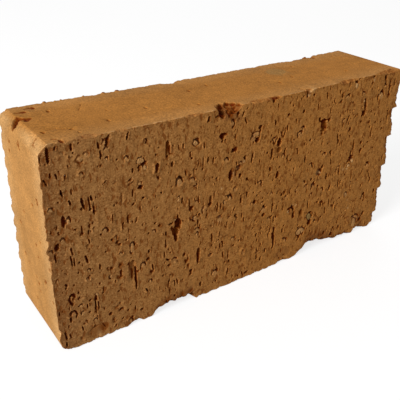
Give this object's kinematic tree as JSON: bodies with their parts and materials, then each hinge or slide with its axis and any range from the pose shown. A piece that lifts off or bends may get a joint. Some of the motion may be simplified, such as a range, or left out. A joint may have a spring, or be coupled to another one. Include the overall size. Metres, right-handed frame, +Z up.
{
  "type": "clay brick",
  "caption": "Solid wire-cut clay brick standing on its long narrow face, with smooth die skins, torn pitted bed faces and ragged arrises.",
  "frame": {"origin": "middle of the long narrow face that the brick stands on, at floor level", "axes": "+X along the brick's length, +Y from one wire-cut bed face to the other across its thickness, +Z up across its width"},
  "size_m": [0.24, 0.052, 0.115],
  "materials": {
    "fired_clay": "unglazed ochre-orange fired clay: fine sandy die skins on the ends, top and bottom, coarser and darker torn clay on the two wire-cut bed faces"
  },
  "bodies": {
    "root": {"brick": "fired_clay"}
  },
  "joints": []
}
